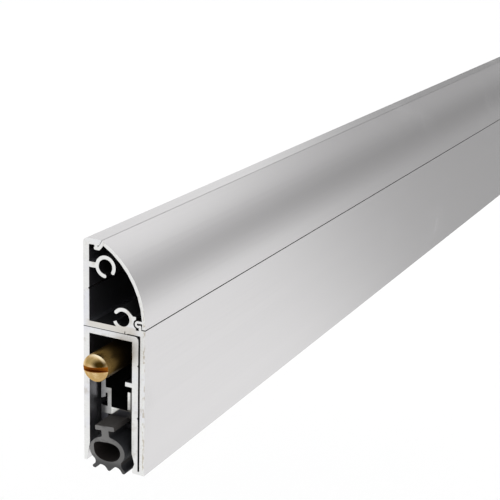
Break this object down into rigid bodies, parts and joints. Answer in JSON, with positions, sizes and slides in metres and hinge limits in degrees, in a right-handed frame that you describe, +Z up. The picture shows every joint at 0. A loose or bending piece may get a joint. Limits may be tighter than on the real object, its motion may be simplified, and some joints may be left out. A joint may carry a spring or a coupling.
{
  "type": "automatic door bottom seal",
  "caption": "Face-fixed door bottom seal: aluminium profile with a curved clip-in cover, and a spring-held rubber strip that drops when a slotted end button is pressed.",
  "frame": {"origin": "centre of the row of four fixing holes, on the face that lies on the door", "axes": "+X along the bar away from the button end, +Y into the door, +Z up; the decorative front faces -Y"},
  "size_m": [0.6194, 0.018, 0.0614],
  "materials": {
    "anodised_aluminium": "satin anodised",
    "mill_aluminium": "mill",
    "grey_rubber": "matt",
    "brass": "turned",
    "zinc_steel": "bright zinc",
    "spring_steel": "drawn wire",
    "nylon": "moulded"
  },
  "bodies": {
    "frame": {"mounting_profile": "anodised_aluminium", "snap_cover": "anodised_aluminium", "housing": "anodised_aluminium", "guide_block_near": "nylon", "guide_block_mid": "nylon", "guide_block_far": "nylon", "guide_screws": "zinc_steel", "spring_hangers": "zinc_steel", "lift_spring_near": "spring_steel", "lift_spring_far": "spring_steel"},
    "push_set": {"button": "brass", "push_rod": "zinc_steel", "lock_nut": "brass", "slider_near": "nylon", "slider_far": "nylon", "set_screws": "zinc_steel", "fork_pin_near": "zinc_steel", "fork_pin_far": "zinc_steel"},
    "arm_near": {"swing_arm_near": "zinc_steel"},
    "arm_far": {"swing_arm_far": "zinc_steel"},
    "drop_set": {"drop_bar": "mill_aluminium", "seal_strip": "grey_rubber", "bar_pin_near": "zinc_steel", "bar_pin_far": "zinc_steel", "spring_pin_near": "zinc_steel", "spring_pin_far": "zinc_steel", "side_glides": "nylon"}
  },
  "joints": [
    {"name": "button_press", "type": "slide", "parent": "frame", "child": "push_set", "axis": [1, 0, 0], "range_m": [0, 0.005]},
    {"name": "arm_near_swing", "type": "hinge", "parent": "push_set", "child": "arm_near", "pos_m": [-0.1745, -0.008, -0.0245], "axis": [0, 1, 0], "range_deg": [0, 25.7]},
    {"name": "arm_far_swing", "type": "hinge", "parent": "push_set", "child": "arm_far", "pos_m": [0.1255, -0.008, -0.0245], "axis": [0, 1, 0], "range_deg": [0, 25.7]},
    {"name": "seal_drop", "type": "slide", "parent": "frame", "child": "drop_set", "axis": [0, 0, -1], "range_m": [0, 0.01], "stiffness_N_per_m": 1200, "springref_m": -0.003, "deforming": ["lift_spring_near", "lift_spring_far"]}
  ],
  "couplings": [
    {"joint": "seal_drop", "follows": "button_press", "ratio": 2},
    {"joint": "arm_near_swing", "follows": "button_press", "rad_per_m": 89.391},
    {"joint": "arm_far_swing", "follows": "button_press", "rad_per_m": 89.391}
  ]
}
